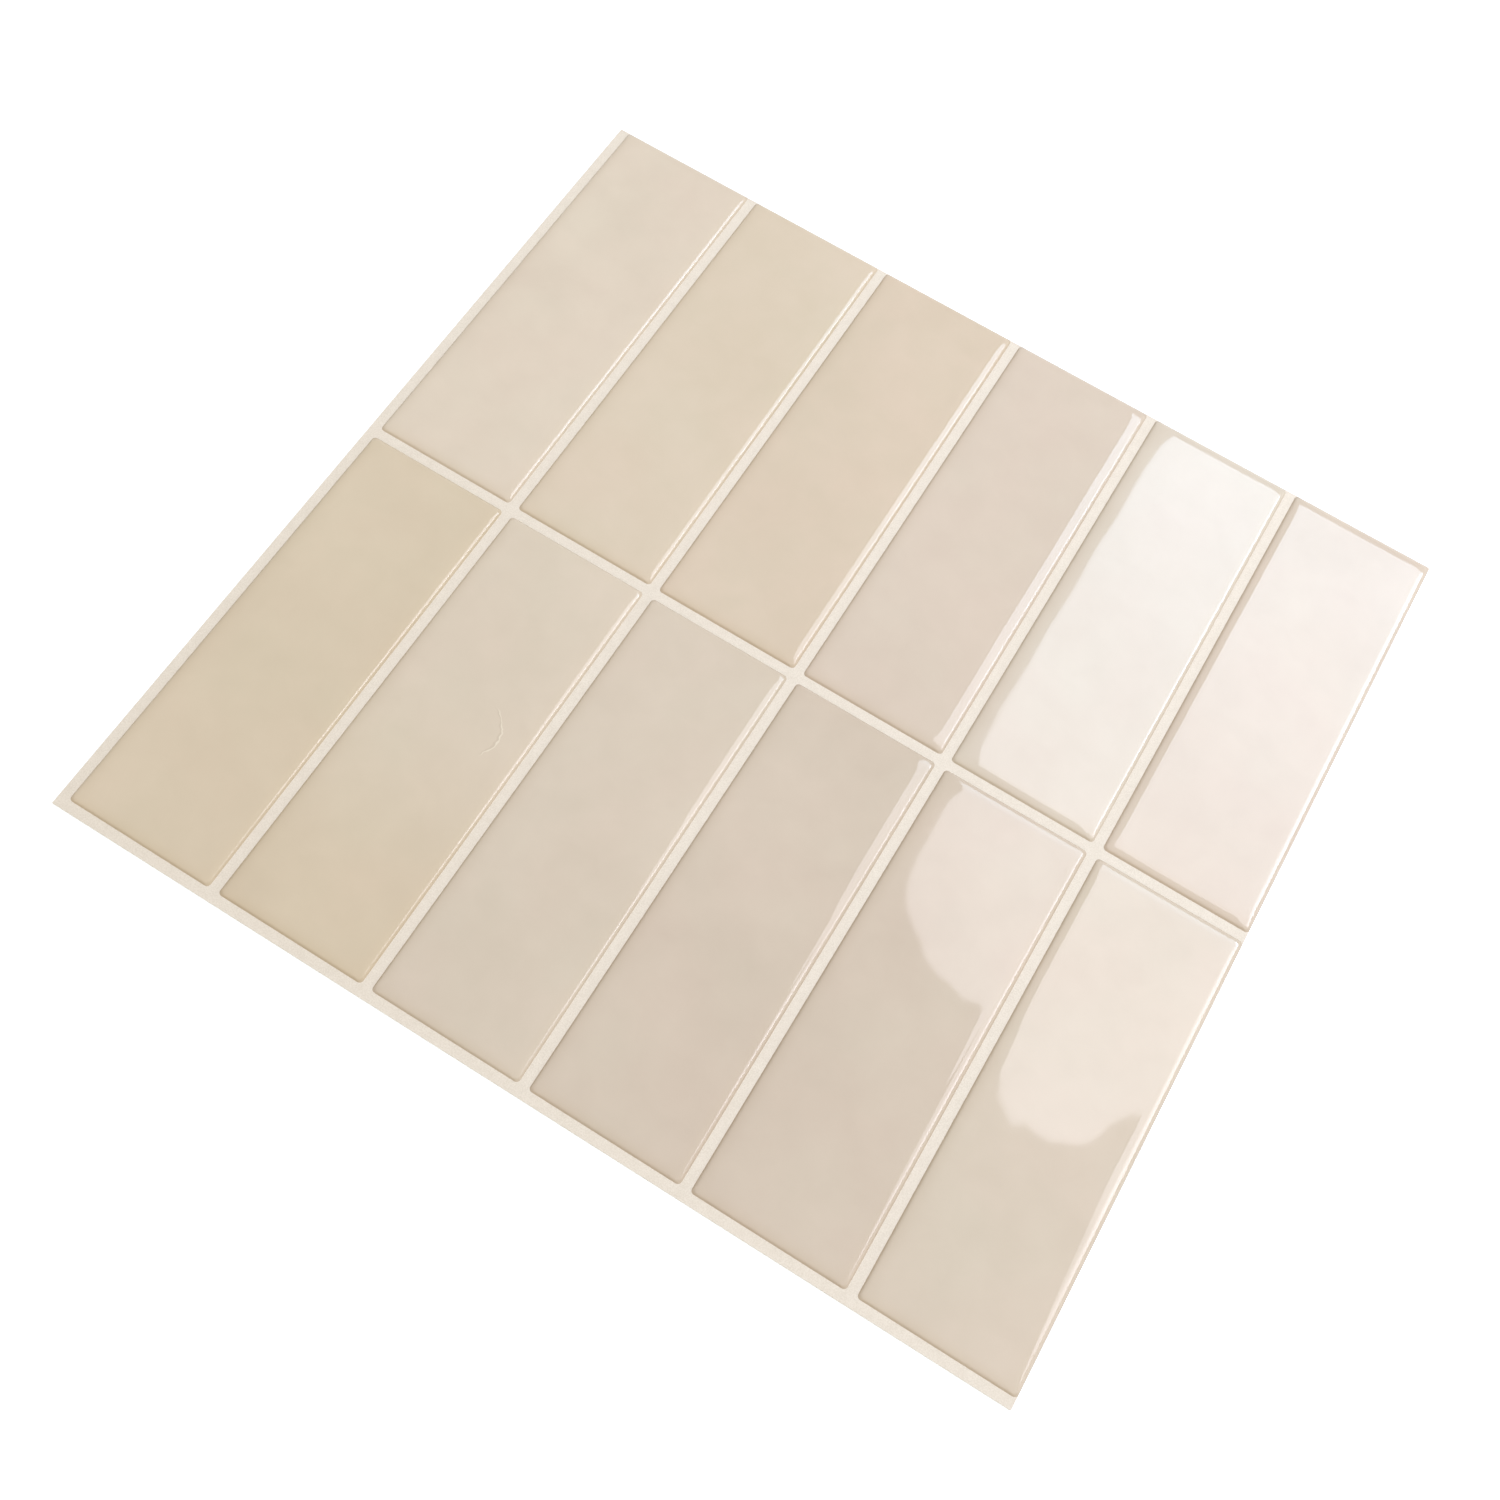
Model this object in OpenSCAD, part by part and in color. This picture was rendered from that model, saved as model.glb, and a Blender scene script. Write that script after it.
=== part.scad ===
// Peel and stick backsplash sheet, lying flat with its face up.
// Clear gel stands tile by tile on a printed film, with a steep lip at its foot and a skin
// that rolls in to a level middle. The film's back is adhesive, under a peel-off liner.
// X runs across the sheet, Y up the sheet as it goes on a wall, Z out of its face.

/* [Tiles] */
// Number of tiles side by side across the sheet
tile_columns = 6; // [1:1:8]
// Number of rows of tiles, one above the other
tile_rows = 2; // [1:1:4]
// Width of one tile's footprint on the film
tile_w = 47.6; // [25:0.1:80]
// Length of one tile's footprint on the film
tile_l = 143; // [40:0.5:200]
// Corner radius of one tile's footprint
tile_corner_r = 1.2; // [0.3:0.1:6]

/* [Grout lines] */
// Width of the bare film between two tiles, and along the left and bottom sides of the
// sheet, where the tiles of the next sheets butt against it
grout_w = 3.2; // [1:0.1:8]

/* [Gel] */
// Height of the steep lip at a tile's foot
lip_h = 0.5; // [0.2:0.05:1]
// Width of the lip, from the foot inwards
lip_w = 0.6; // [0.3:0.05:1.5]
// Height that the gel's crown adds to the lip
crown_h = 0.55; // [0.1:0.05:1.5]
// Width over which the crown rises, from the foot to the level middle
crown_w = 4.2; // [2:0.1:8]

/* [Film and liner] */
// Thickness of the printed film, with the adhesive that is coated on its back
film_t = 0.55; // [0.2:0.05:1.5]
// Thickness of the paper liner that covers the adhesive
liner_t = 0.15; // [0.05:0.01:0.3]

/* [Hidden] */
// Bands of the loft up the lip, and up the rest of the crown
lip_steps = 4;
crown_steps = 5;
// Segments of each rounded corner in a contour
corner_steps = 8;
// Most of a contour's half width that a rounded corner may take
corner_share = 0.95;

tile_pitch_x = tile_w + grout_w;
tile_pitch_y = tile_l + grout_w;
sheet_w = tile_columns * tile_pitch_x;
sheet_l = tile_rows * tile_pitch_y;
film_z = liner_t;
gel_z = film_z + film_t;

points_per_contour = 4 * (corner_steps + 1);
// How far in from the foot each contour of the gel runs
insets = [
    for (i = [0:lip_steps]) lip_w * i / lip_steps,
    for (i = [1:crown_steps]) lip_w + (crown_w - lip_w) * i / crown_steps
];

function tile_name(row, column) = str("gel_tile_row", row + 1, "_col", column + 1);

// Height of the gel's skin over the film, at a distance in from the foot
function gel_height(inset) =
    lip_h * (1 - pow(max(1 - inset / lip_w, 0), 2))
    + crown_h * (1 - pow(1 - inset / crown_w, 3));

// One contour, anticlockwise from above: the footprint drawn in by inset, with corners
// that get rounder on the way in, as those of a puddle do
function contour(inset) = [
    for (corner = [0:3], step = [0:corner_steps])
        let (
            half = min(tile_w, tile_l) / 2 - inset,
            r = min(tile_corner_r + inset, corner_share * half),
            turn = 90 * (corner + step / corner_steps),
            side_x = corner == 0 || corner == 3 ? 1 : -1,
            side_y = corner < 2 ? 1 : -1
        )
        [
            side_x * (tile_w / 2 - inset - r) + r * cos(turn),
            side_y * (tile_l / 2 - inset - r) + r * sin(turn),
            gel_height(inset)
        ]
];

// Sheet-sized layer with its bottom at height z
module layer(z, t) {
    translate([-sheet_w / 2, -sheet_l / 2, z])
        cube([sheet_w, sheet_l, t]);
}

// Paper liner, peeled off before the sheet is stuck to the wall
module release_liner() {
    color("whitesmoke")
        layer(0, liner_t);
}

// Film printed with the grout colour and the tiles' stone pattern
module printed_film() {
    color([0.93, 0.89, 0.85])
        layer(film_z, film_t);
}

// Dome of gel on one tile's footprint, lofted through its contours
module gel_dome() {
    n = points_per_contour;
    bands = len(insets) - 1;
    points = [for (inset = insets) each contour(inset)];
    foot = [for (k = [0:n - 1]) k];
    level = [for (k = [n - 1:-1:0]) bands * n + k];
    flank = [
        for (i = [0:bands - 1], k = [0:n - 1])
            let (
                low = i * n + k,
                low_next = i * n + (k + 1) % n
            )
            each [
                [low, low + n, low_next + n],
                [low, low_next + n, low_next]
            ]
    ];
    polyhedron(points, concat([foot, level], flank));
}

// One tile in its place on the film, with its left and bottom grout lines outside it
module gel_tile(row, column) {
    color([0.83, 0.78, 0.70])
        translate([
            -sheet_w / 2 + grout_w + tile_w / 2 + column * tile_pitch_x,
            -sheet_l / 2 + grout_w + tile_l / 2 + row * tile_pitch_y,
            gel_z
        ])
            gel_dome();
}

release_liner();
printed_film();
for (row = [0:tile_rows - 1], column = [0:tile_columns - 1])
    gel_tile(row, column);
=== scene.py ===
import math

import bmesh
import bpy
from mathutils import Matrix, Quaternion, Vector, noise


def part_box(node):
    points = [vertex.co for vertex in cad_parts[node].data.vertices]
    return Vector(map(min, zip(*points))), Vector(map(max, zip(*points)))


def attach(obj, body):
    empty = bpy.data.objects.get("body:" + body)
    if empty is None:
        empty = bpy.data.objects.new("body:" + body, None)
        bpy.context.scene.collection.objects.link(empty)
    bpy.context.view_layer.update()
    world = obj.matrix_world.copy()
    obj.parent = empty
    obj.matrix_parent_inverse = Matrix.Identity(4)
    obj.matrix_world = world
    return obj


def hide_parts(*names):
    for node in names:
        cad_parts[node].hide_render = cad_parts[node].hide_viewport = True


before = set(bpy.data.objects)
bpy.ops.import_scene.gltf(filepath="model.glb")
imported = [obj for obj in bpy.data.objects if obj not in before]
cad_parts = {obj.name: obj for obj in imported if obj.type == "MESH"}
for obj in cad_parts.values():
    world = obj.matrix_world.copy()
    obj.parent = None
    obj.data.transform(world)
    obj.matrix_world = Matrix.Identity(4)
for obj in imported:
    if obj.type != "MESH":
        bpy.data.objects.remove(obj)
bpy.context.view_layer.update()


# Release liner: smooth white paper, coated so that the adhesive lets go of it. It lies
# under the whole sheet, cut to its outline, and is peeled off before the sheet goes up.

mm = 0.001


def linear(red, green, blue):
    """A colour as it looks on a screen, 0 to 255 a channel, as the shaders want it."""
    levels = (level / 255 for level in (red, green, blue))
    return (*(v / 12.92 if v < 0.04045 else ((v + 0.055) / 1.055) ** 2.4 for v in levels), 1)


def add_node(tree, kind, inputs=None, **settings):
    """A new shader node, with plain values or other nodes' sockets given to its inputs."""
    node = tree.nodes.new(kind)
    for name, value in settings.items():
        setattr(node, name, value)
    for name, value in (inputs or {}).items():
        if isinstance(value, bpy.types.NodeSocket):
            tree.links.new(value, node.inputs[name])
        else:
            node.inputs[name].default_value = value
    return node


def math_node(tree, operation, first, second=0.0):
    return add_node(tree, "ShaderNodeMath", {0: first, 1: second},
                    operation=operation).outputs[0]


def map_range(tree, value, from_min, from_max, to_min=0.0, to_max=1.0, smooth=False):
    """A value's way from one end to the other, on another scale and held at both ends."""
    return add_node(tree, "ShaderNodeMapRange", {
        "Value": value, "From Min": from_min, "From Max": from_max,
        "To Min": to_min, "To Max": to_max},
        interpolation_type="SMOOTHSTEP" if smooth else "LINEAR").outputs["Result"]


def blend_colours(tree, share, first, second, blend="MIX"):
    node = add_node(tree, "ShaderNodeMix", data_type="RGBA", blend_type=blend)
    for socket, value in zip((node.inputs["Factor"], node.inputs[6], node.inputs[7]),
                             (share, first, second)):
        if isinstance(value, bpy.types.NodeSocket):
            tree.links.new(value, socket)
        else:
            socket.default_value = value
    return node.outputs[2]


def new_finish(name, roughness, ior=1.5):
    """A material with its shader's plain values set, ready for its textures."""
    material = bpy.data.materials.new(name)
    material.use_nodes = True
    shader = material.node_tree.nodes["Principled BSDF"]
    shader.inputs["Roughness"].default_value = roughness
    shader.inputs["IOR"].default_value = ior
    return material, material.node_tree, shader


def grain_group():
    """Fine even grain, as of paper or matte ink: 0 to 1, in two sizes over each other."""
    fine_share = 0.78
    coarse_size = 0.13
    group = bpy.data.node_groups.new("fine_grain", "ShaderNodeTree")
    sockets = group.interface
    sockets.new_socket("Vector", in_out="INPUT", socket_type="NodeSocketVector")
    sockets.new_socket("Scale", in_out="INPUT", socket_type="NodeSocketFloat")
    sockets.new_socket("Grain", in_out="OUTPUT", socket_type="NodeSocketFloat")
    given = add_node(group, "NodeGroupInput")
    fine = add_node(group, "ShaderNodeTexNoise", {
        "Vector": given.outputs["Vector"], "Scale": given.outputs["Scale"],
        "Detail": 2.0, "Roughness": 0.55})
    coarse_scale = math_node(group, "MULTIPLY", given.outputs["Scale"], coarse_size)
    coarse = add_node(group, "ShaderNodeTexNoise", {
        "Vector": given.outputs["Vector"], "Scale": coarse_scale,
        "Detail": 2.0, "Roughness": 0.5})
    both = math_node(group, "ADD",
                     math_node(group, "MULTIPLY", fine.outputs["Fac"], fine_share),
                     math_node(group, "MULTIPLY", coarse.outputs["Fac"], 1 - fine_share))
    result = add_node(group, "NodeGroupOutput")
    group.links.new(both, result.inputs["Grain"])
    return group


fine_grain = grain_group()


def add_grain(tree, scale):
    place = add_node(tree, "ShaderNodeTexCoord").outputs["Object"]
    return add_node(tree, "ShaderNodeGroup", node_tree=fine_grain,
                    inputs={"Vector": place, "Scale": scale}).outputs["Grain"]


fibre_size = 900
fibre_height = 0.03 * mm
grey_fibre = linear(232, 231, 226)
white_fibre = linear(246, 246, 243)

liner_paper, tree, shader = new_finish("release_paper", roughness=0.42, ior=1.45)
fibre = add_grain(tree, fibre_size)
paper = blend_colours(tree, fibre, grey_fibre, white_fibre)
tree.links.new(paper, shader.inputs["Base Color"])
fibre_bump = add_node(tree, "ShaderNodeBump", {
    "Height": fibre, "Strength": 0.25, "Distance": fibre_height})
tree.links.new(fibre_bump.outputs["Normal"], shader.inputs["Normal"])
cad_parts["release_liner"].data.materials.clear()
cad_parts["release_liner"].data.materials.append(liner_paper)


# Printed film: a soft plastic film that carries the whole sheet, printed in a matte cream
# grout colour that shows between the tiles. Its cut edge shows the same cream.

sand_size = 2600
sand_height = 0.05 * mm
dark_sand = linear(229, 220, 206)
pale_sand = linear(247, 239, 227)
blush_colour = linear(238, 227, 214)
blush_strength = 0.5

film_ink, tree, shader = new_finish("grout_print", roughness=0.62)
sand = add_grain(tree, sand_size)
cream = blend_colours(tree, map_range(tree, sand, 0.36, 0.64), dark_sand, pale_sand)
blush = add_node(tree, "ShaderNodeTexNoise", {
    "Vector": add_node(tree, "ShaderNodeTexCoord").outputs["Object"],
    "Scale": 90.0, "Detail": 1.0})
blush_share = math_node(tree, "MULTIPLY", blush.outputs["Fac"], blush_strength)
cream = blend_colours(tree, blush_share, cream, blush_colour)
tree.links.new(cream, shader.inputs["Base Color"])
sand_bump = add_node(tree, "ShaderNodeBump", {
    "Height": sand, "Strength": 0.3, "Distance": sand_height})
tree.links.new(sand_bump.outputs["Normal"], shader.inputs["Normal"])
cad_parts["printed_film"].data.materials.clear()
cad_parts["printed_film"].data.materials.append(film_ink)


# Gel tiles: clear soft gel standing on the film over a cloudy beige stone print, each in
# its own puddle. A steep lip bends the light at the foot, and the skin rolls in over a few
# millimetres to a level middle that is never quite flat.

tile_rows = 2
tile_columns = 6
lip_h = 0.5 * mm
lip_w = 1.4 * mm
crown_w = 4.6 * mm
tile_corner_r = 1.2 * mm
corner_steps = 10
first_low, first_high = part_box("gel_tile_row1_col1")
foot_z = first_low.z
tile_w = first_high.x - first_low.x
tile_l = first_high.y - first_low.y
crown_h = first_high.z - foot_z - lip_h
wave_h = 0.02 * mm
wave_across = 34 * mm
wave_along = 26 * mm
field_step = 1.6 * mm
rim_cuts = [0.06, 0.13, 0.2, 0.28, 0.36, 0.45, 0.54, 0.63, 0.72, 0.82, 0.95, 1.1, 1.25, 1.4,
            1.6, 1.85, 2.2, 2.6, 3.1, 3.6, 4.1, 4.6]
merge_gap = 0.001 * mm
crease_angle = math.radians(55)


def gel_height(inset):
    """Height of the gel's skin over its foot, at a distance in from the foot."""
    lip = lip_h * (1 - max(1 - inset / lip_w, 0) ** 3)
    crown = crown_h * (1 - max(1 - inset / crown_w, 0) ** 3)
    return lip + crown


def inset_at(x, y):
    """How far in from the foot a point lies, with corners that get rounder inwards.

    The contour at inset i has the corner radius r + i, with r at the foot, so the centre of
    its corner has moved in by 2i. The point (a, b), seen from the foot's corner centre, is
    on that contour where (a + 2i)^2 + (b + 2i)^2 = (r + i)^2, a quadratic with 7i^2 in it."""
    a = abs(x) - (tile_w / 2 - tile_corner_r)
    b = abs(y) - (tile_l / 2 - tile_corner_r)
    straight = tile_corner_r - max(a, b)
    half_b = 2 * (a + b) - tile_corner_r
    under_root = half_b ** 2 - 7 * (a * a + b * b - tile_corner_r ** 2)
    if under_root < 0:
        return straight
    corner = (math.sqrt(under_root) - half_b) / 7
    in_corner = a + 2 * corner > 0 and b + 2 * corner > 0
    return max(corner, 0) if in_corner else straight


def skin_wave(x, y):
    """Slow unevenness of the gel's skin, longest across the tile, between -1 and 1."""
    noise_slice = 4.1
    return noise.noise(Vector((x / wave_across, y / wave_along, noise_slice)))


def cuts_along(half):
    """Where the tile is cut across one axis: close together at the rims, wider between."""
    rim = [half - cut * mm for cut in rim_cuts]
    field = rim[-1]
    steps = max(2, round(2 * field / field_step))
    inner = [-field + 2 * field * k / steps for k in range(1, steps)]
    return sorted([-d for d in rim] + inner + rim)


def gel_tile_mesh(name, centre):
    """A block with rounded upright edges, cut finely and then raised to the gel's skin.

    Its attribute "inset" is 0 at the foot and 1 where the level middle begins."""
    bm = bmesh.new()
    bmesh.ops.create_cube(bm, size=1)
    bmesh.ops.transform(bm, matrix=Matrix.Diagonal((tile_w, tile_l, lip_h, 1)), verts=bm.verts)
    uprights = [e for e in bm.edges if abs(e.verts[0].co.z - e.verts[1].co.z) > lip_h / 2]
    bmesh.ops.bevel(bm, geom=uprights, offset=tile_corner_r, offset_type="OFFSET",
                    affect="EDGES", segments=corner_steps, profile=0.5, material=-1)
    for axis, half in ((Vector((1, 0, 0)), tile_w / 2), (Vector((0, 1, 0)), tile_l / 2)):
        for place in cuts_along(half):
            bmesh.ops.bisect_plane(bm, geom=bm.verts[:] + bm.edges[:] + bm.faces[:],
                                   dist=merge_gap, plane_co=axis * place, plane_no=axis)
    for v in bm.verts:
        if v.co.z > 0:
            inset = inset_at(v.co.x, v.co.y)
            level = min(inset / crown_w, 1) ** 2
            wave = skin_wave(v.co.x + centre.x, v.co.y + centre.y)
            v.co.z = gel_height(inset) + wave_h * level * wave
        else:
            v.co.z = 0
    bmesh.ops.remove_doubles(bm, verts=bm.verts, dist=2 * merge_gap)
    base = [f for f in bm.faces if all(v.co.z < merge_gap for v in f.verts)]
    bmesh.ops.dissolve_faces(bm, faces=base)
    bmesh.ops.recalc_face_normals(bm, faces=bm.faces)
    inset_layer = bm.verts.layers.float.new("inset")
    for v in bm.verts:
        v[inset_layer] = inset_at(v.co.x, v.co.y) / crown_w
    bmesh.ops.translate(bm, vec=centre, verts=bm.verts)
    for face in bm.faces:
        face.smooth = True
    mesh = bpy.data.meshes.new(name)
    bm.to_mesh(mesh)
    bm.free()
    mesh.set_sharp_from_angle(angle=crease_angle)
    return mesh


def stone_print_group():
    """Cloudy stone print: broad soft clouds, finer mottling and a drift between a pink
    and a green cast, mixed from a pale and a deep tone of one colour."""
    cloud_part = 0.64
    pink_cast = (1.022, 0.992, 0.995, 1)
    green_cast = (0.982, 1.008, 0.992, 1)
    group = bpy.data.node_groups.new("stone_print", "ShaderNodeTree")
    sockets = group.interface
    sockets.new_socket("Vector", in_out="INPUT", socket_type="NodeSocketVector")
    sockets.new_socket("Pale", in_out="INPUT", socket_type="NodeSocketColor")
    sockets.new_socket("Deep", in_out="INPUT", socket_type="NodeSocketColor")
    sockets.new_socket("Color", in_out="OUTPUT", socket_type="NodeSocketColor")
    given = add_node(group, "NodeGroupInput")
    place = given.outputs["Vector"]
    clouds = add_node(group, "ShaderNodeTexNoise", {
        "Vector": place, "Scale": 17.0, "Detail": 3.0, "Roughness": 0.45, "Distortion": 0.6})
    mottle = add_node(group, "ShaderNodeTexNoise", {
        "Vector": place, "Scale": 95.0, "Detail": 4.0, "Roughness": 0.5, "Distortion": 0.3})
    cloud_share = map_range(group, clouds.outputs["Fac"], 0.3, 0.7)
    mottle_share = map_range(group, mottle.outputs["Fac"], 0.3, 0.7)
    share = math_node(group, "ADD",
                      math_node(group, "MULTIPLY", cloud_share, cloud_part),
                      math_node(group, "MULTIPLY", mottle_share, 1 - cloud_part))
    tone = blend_colours(group, share, given.outputs["Deep"], given.outputs["Pale"])
    cast = add_node(group, "ShaderNodeTexNoise", {
        "Vector": place, "Scale": 31.0, "Detail": 2.0})
    cast_colour = blend_colours(group, cast.outputs["Fac"], pink_cast, green_cast)
    result = add_node(group, "NodeGroupOutput")
    group.links.new(blend_colours(group, 1.0, tone, cast_colour, "MULTIPLY"),
                    result.inputs["Color"])
    return group


stone_print = stone_print_group()

hair_centre = (-68.7 * mm, -63.0 * mm, 0.0)
hair_middle = (-58.8 * mm, -60.3 * mm, 0.0)
hair_bow = 10.6 * mm
hair_width = 0.22 * mm
# Painted shadow: a faint darker arc beside the hair, in place of the shadow it casts on the
# print.
painted_hair_shadow_width = 0.35 * mm
hair_reach = 6.5 * mm
hair_end = 9.0 * mm
hair_drift = (4 * mm, 4 * mm, 0.0)
hair_colour = linear(238, 228, 211)
painted_hair_shadow = (0.93, 0.92, 0.9, 1)


def arc_line(tree, place, radius, width):
    """1 on a fine arc about the hair's centre, fading to 0 over its width and at its ends."""
    about = add_node(tree, "ShaderNodeVectorMath", {0: place, 1: hair_centre},
                     operation="DISTANCE").outputs["Value"]
    off = math_node(tree, "ABSOLUTE", math_node(tree, "SUBTRACT", about, radius))
    line = map_range(tree, off, width, 0.3 * width)
    from_middle = add_node(tree, "ShaderNodeVectorMath", {0: place, 1: hair_middle},
                           operation="DISTANCE").outputs["Value"]
    ends = map_range(tree, from_middle, hair_end, hair_reach)
    return math_node(tree, "MULTIPLY", line, ends)


def with_hair(tree, place, colour):
    """The print with a fine pale hair over it, as if caught in the gel, and a painted shadow of
    the hair beside it.
    """
    bend = add_node(tree, "ShaderNodeTexNoise", {"Vector": place, "Scale": 240.0})
    drift = add_node(tree, "ShaderNodeVectorMath", {0: bend.outputs["Color"],
                     1: hair_drift}, operation="MULTIPLY").outputs["Vector"]
    place = add_node(tree, "ShaderNodeVectorMath", {0: place, 1: drift},
                     operation="ADD").outputs["Vector"]
    flat = (1.0, 1.0, 0.0)
    place = add_node(tree, "ShaderNodeVectorMath", {0: place, 1: flat},
                     operation="MULTIPLY").outputs["Vector"]
    # Painted shadow of the hair, darkening the print along an arc just inside it.
    shade = arc_line(tree, place, hair_bow - painted_hair_shadow_width, painted_hair_shadow_width)
    colour = blend_colours(tree, shade, colour, painted_hair_shadow, "MULTIPLY")
    hair = arc_line(tree, place, hair_bow, hair_width)
    return blend_colours(tree, hair, colour, hair_colour)


def warmer_below(tree, place, colour):
    """The print of one tile, turned yellower towards the tile's lower end."""
    yellow_cast = (0.945, 0.915, 0.84, 1)
    yellow_from = -45 * mm
    yellow_to = -135 * mm
    up = add_node(tree, "ShaderNodeSeparateXYZ", {0: place}).outputs["Y"]
    share = map_range(tree, up, yellow_from, yellow_to, smooth=True)
    return blend_colours(tree, share, colour, yellow_cast, "MULTIPLY")


# Painted shade: these colours darken the print towards each tile's foot, softly over the rim and
# more at the lip, in place of the light that the gel bends away there.
painted_rim_shade = (0.93, 0.9, 0.84, 1)
painted_rim_shade_strength = 0.28
painted_rim_shade_ends = (1.0, 0.1)
painted_lip_shade = (0.88, 0.86, 0.825, 1)
painted_lip_shade_ends = (0.15, 0.04)


def gel_finish(name, pale, deep, hair=False):
    """Clear glossy gel over the stone print, in one of the print's tones.

    Towards the foot the print is painted darker: painted shade for the light that the gel bends
    away there.
    Where that begins and ends is given in shares of the crown's width."""
    material, tree, shader = new_finish(name, roughness=0.03)
    place = add_node(tree, "ShaderNodeTexCoord").outputs["Object"]
    stone = add_node(tree, "ShaderNodeGroup", node_tree=stone_print,
                     inputs={"Vector": place, "Pale": pale, "Deep": deep}).outputs["Color"]
    if hair:
        stone = with_hair(tree, place, warmer_below(tree, place, stone))
    inset = add_node(tree, "ShaderNodeAttribute", attribute_name="inset").outputs["Fac"]
    # Painted shade masks: the rim share fades in from the level middle, and the lip share rises
    # near the foot.
    rim = map_range(tree, inset, *painted_rim_shade_ends, smooth=True)
    lip = map_range(tree, inset, *painted_lip_shade_ends, smooth=True)
    painted_rim_shade_share = math_node(tree, "MULTIPLY", rim, painted_rim_shade_strength)
    shaded = blend_colours(tree, painted_rim_shade_share, stone, painted_rim_shade, "MULTIPLY")
    shaded = blend_colours(tree, lip, shaded, painted_lip_shade, "MULTIPLY")
    tree.links.new(shaded, shader.inputs["Base Color"])
    return material


tones = {
    "pearl": gel_finish("gel_over_pearl_print", linear(230, 217, 200), linear(222, 208, 191)),
    "silver": gel_finish("gel_over_silver_print", linear(227, 216, 202), linear(219, 207, 192)),
    "grey": gel_finish("gel_over_grey_print", linear(226, 212, 197), linear(218, 203, 188)),
    "sand": gel_finish("gel_over_sand_print", linear(227, 212, 193), linear(219, 205, 183)),
    "peach": gel_finish("gel_over_peach_print", linear(226, 209, 190), linear(217, 202, 181)),
    "warm": gel_finish("gel_over_warm_print", linear(225, 210, 187), linear(217, 202, 178)),
    "rose": gel_finish("gel_over_rose_print", linear(221, 207, 191), linear(212, 197, 181)),
    "oat": gel_finish("gel_over_oat_print", linear(225, 212, 196), linear(216, 203, 186)),
    "haired": gel_finish("gel_over_oat_print_with_hair", linear(229, 216, 199),
                         linear(220, 207, 189), hair=True),
}
tile_tones = [
    ["warm", "haired", "oat", "rose", "rose", "oat"],
    ["pearl", "sand", "peach", "grey", "silver", "grey"],
]

for row in range(tile_rows):
    for column in range(tile_columns):
        node_name = f"gel_tile_row{row + 1}_col{column + 1}"
        low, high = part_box(node_name)
        centre = Vector(((low.x + high.x) / 2, (low.y + high.y) / 2, foot_z))
        mesh = gel_tile_mesh("poured_" + node_name, centre)
        tile = bpy.data.objects.new("poured_" + node_name, mesh)
        bpy.context.collection.objects.link(tile)
        mesh.materials.append(tones[tile_tones[row][column]])
        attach(tile, "root")
        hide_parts(node_name)


# Studio floor and surroundings: a plain white sweep that the sheet lies on. It shows as
# white to the camera and in the gel's gloss, and still takes the sheet's shadow.

floor_size = 8.0
floor_glow = 0.57
room_strength = 0.562
room_colour = (1.0, 0.917, 0.758, 1)
room_lean = (0.25, -0.35, 0.0)

floor_mesh = bpy.data.meshes.new("studio_floor")
bm = bmesh.new()
bmesh.ops.create_grid(bm, x_segments=1, y_segments=1, size=floor_size / 2)
bm.to_mesh(floor_mesh)
bm.free()
floor = bpy.data.objects.new("studio_floor", floor_mesh)
bpy.context.collection.objects.link(floor)


def seen_directly(tree):
    """1 for what the camera sees, in gloss and through glass too, and 0 for lighting."""
    path = add_node(tree, "ShaderNodeLightPath").outputs
    direct = math_node(tree, "MAXIMUM", path["Is Camera Ray"], path["Is Glossy Ray"])
    return math_node(tree, "MAXIMUM", direct, path["Is Transmission Ray"])


floor_white, tree, shader = new_finish("white_sweep", roughness=0.9)
shader.inputs["Base Color"].default_value = linear(235, 243, 255)
shader.inputs["Specular IOR Level"].default_value = 0.0
shader.inputs["Emission Color"].default_value = (1, 1, 1, 1)
tree.links.new(math_node(tree, "MULTIPLY", seen_directly(tree), floor_glow),
               shader.inputs["Emission Strength"])
floor_mesh.materials.append(floor_white)

world = bpy.data.worlds.new("white_room")
world.use_nodes = True
bpy.context.scene.world = world
tree = world.node_tree
tree.nodes.clear()
sky_way = add_node(tree, "ShaderNodeTexCoord").outputs["Generated"]
lean = add_node(tree, "ShaderNodeVectorMath", {0: sky_way, 1: room_lean},
                operation="DOT_PRODUCT").outputs["Value"]
room_glow = math_node(tree, "MULTIPLY", math_node(tree, "ADD", lean, 1.0), room_strength)
room_light = add_node(tree, "ShaderNodeBackground", {"Color": room_colour, "Strength": room_glow})
room_white = add_node(tree, "ShaderNodeBackground", {"Color": (1, 1, 1, 1), "Strength": 1.0})
which = add_node(tree, "ShaderNodeMixShader", {
    0: seen_directly(tree), 1: room_light.outputs[0], 2: room_white.outputs[0]})
tree.links.new(which.outputs[0], add_node(tree, "ShaderNodeOutputWorld").inputs["Surface"])


# Window light: one broad opening high behind the sheet and to its right, with an uneven
# lower edge. It mirrors in the last two columns, whose gel shines, and in the right rims of
# the others.

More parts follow.
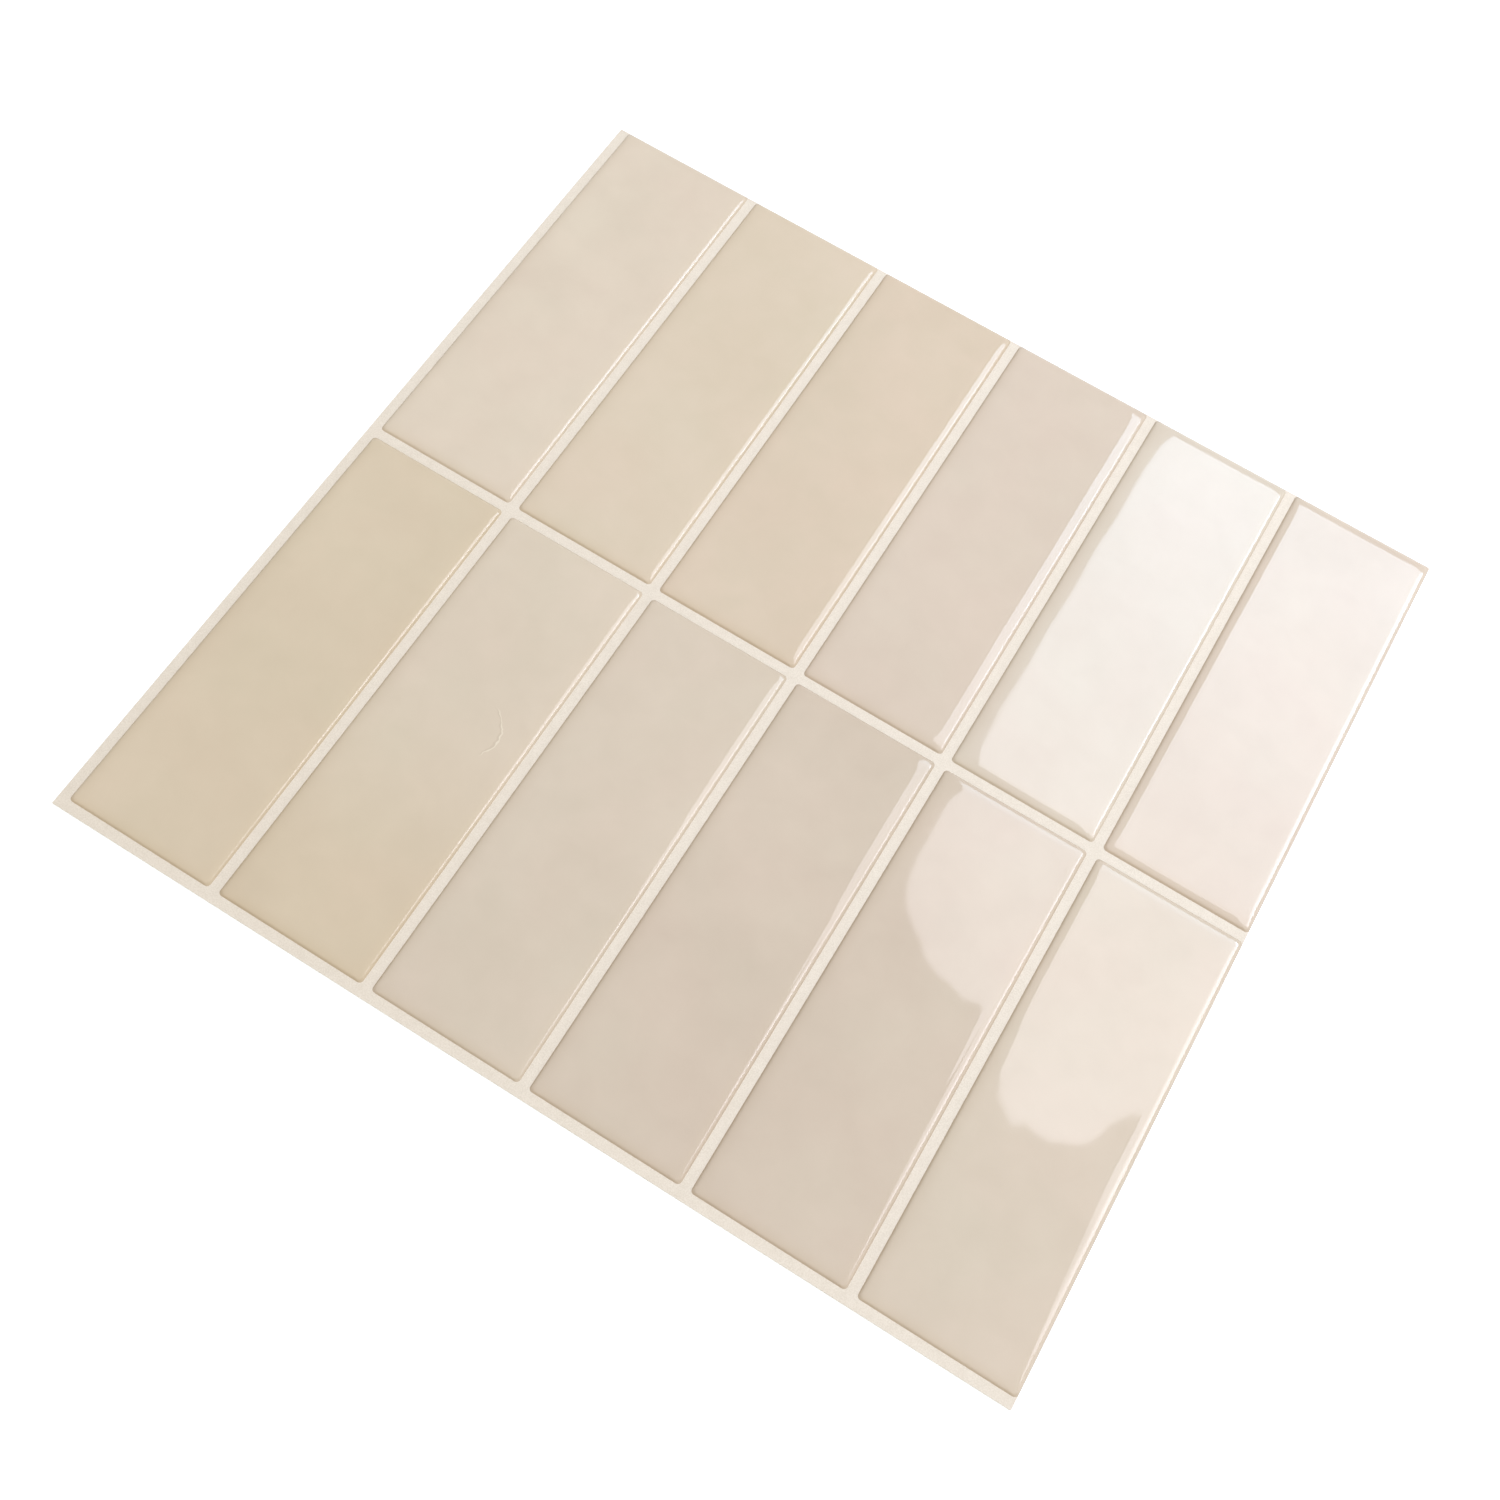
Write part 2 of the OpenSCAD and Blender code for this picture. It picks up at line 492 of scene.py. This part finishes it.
window_height = 1.7
window_left = 0.031
window_right = 1.42
window_near = 0.12
window_far = 1.69
sill_edge = [(0.0, 0.98), (0.031, 0.95), (0.035, 0.84), (0.037, 0.7), (0.041, 0.635),
             (0.053, 0.595), (0.08, 0.562), (0.118, 0.54), (0.171, 0.518), (0.21, 0.51),
             (0.245, 0.485), (0.28, 0.428), (0.348, 0.41), (0.4, 0.428), (0.43, 0.48),
             (0.462, 0.5), (0.5, 0.4), (0.56, 0.32), (0.64, 0.265), (0.75, 0.235), (1.0, 0.18)]
edge_ripple = 0.04
edge_blur_from = 0.015
edge_blur_to = 0.024
low_sky = (0.80, 0.80, 0.90, 1)
high_sky = (0.92, 1.14, 1.42, 1)
sky_from = 0.65
sky_to = 1.36
right_gain = 2.4
right_from = 0.72
right_to = 0.98
haze_dim = 0.35
haze_from = 0.14
haze_to = 0.42

window_w = window_right - window_left
window_l = window_far - window_near
lamp = bpy.data.lights.new("window", "AREA")
lamp.shape = "RECTANGLE"
lamp.size = window_w
lamp.size_y = window_l
lamp.energy = math.pi * window_w * window_l
lamp.use_nodes = True
tree = lamp.node_tree
place = add_node(tree, "ShaderNodeNewGeometry").outputs["Position"]
along = add_node(tree, "ShaderNodeSeparateXYZ", {0: place}).outputs
ripple = add_node(tree, "ShaderNodeTexNoise", {"Vector": place, "Scale": 26.0, "Detail": 4.0})
edge = add_node(tree, "ShaderNodeFloatCurve", {"Value": along["X"]})
curve = edge.mapping.curves[0]
for point, (x, y) in zip((curve.points[0], curve.points[1]), (sill_edge[0], sill_edge[-1])):
    point.location = (x, y)
for x, y in sill_edge[1:-1]:
    curve.points.new(x, y)
edge.mapping.update()
over_edge = math_node(tree, "SUBTRACT", along["Y"], edge.outputs["Value"])
over_edge = math_node(tree, "ADD", over_edge,
                      math_node(tree, "MULTIPLY", ripple.outputs["Fac"], edge_ripple))
clear = map_range(tree, over_edge, edge_blur_from, edge_blur_to, smooth=True)
sky = blend_colours(tree, map_range(tree, along["Y"], sky_from, sky_to), low_sky, high_sky)
cloud = add_node(tree, "ShaderNodeTexNoise", {"Vector": place, "Scale": 4.0, "Detail": 2.0})
cloud_glow = map_range(tree, cloud.outputs["Fac"], 0.3, 0.7, to_min=3.8, to_max=4.2)
brighter_side = map_range(tree, along["X"], right_from, right_to, to_min=1.0, to_max=right_gain)
low_haze = map_range(tree, along["Y"], haze_from, haze_to, to_min=haze_dim)
glow = math_node(tree, "MULTIPLY", cloud_glow, brighter_side)
glow = math_node(tree, "MULTIPLY", glow, low_haze)
emission = next(n for n in tree.nodes if n.type == "EMISSION")
tree.links.new(sky, emission.inputs["Color"])
tree.links.new(math_node(tree, "MULTIPLY", clear, glow), emission.inputs["Strength"])
window = bpy.data.objects.new("window", lamp)
window.location = ((window_left + window_right) / 2, (window_near + window_far) / 2,
                   window_height)
bpy.context.collection.objects.link(window)


# Camera: looks down on the sheet from its lower right, as the photograph does, leaning a
# little to the left. Its lens is worked out for a frame 1500 pixels square.

frame_px = 1500
focal_px = 1713.6
camera_place = Vector((0.0660, -0.2123, 0.4610))
camera_aim = Vector((0.0025, -0.0263, 0.0007))
camera_lean = math.radians(13.15)

camera = bpy.data.cameras.new("camera")
camera.sensor_width = 36
camera.lens = camera.sensor_width * focal_px / frame_px
camera.clip_start = 0.01
looker = bpy.data.objects.new("camera", camera)
looker.location = camera_place
looker.rotation_mode = "QUATERNION"
looker.rotation_quaternion = ((camera_aim - camera_place).to_track_quat("-Z", "Y")
                              @ Quaternion((0, 0, 1), camera_lean))
bpy.context.collection.objects.link(looker)
bpy.context.scene.camera = looker
bpy.context.scene.view_settings.view_transform = "Standard"
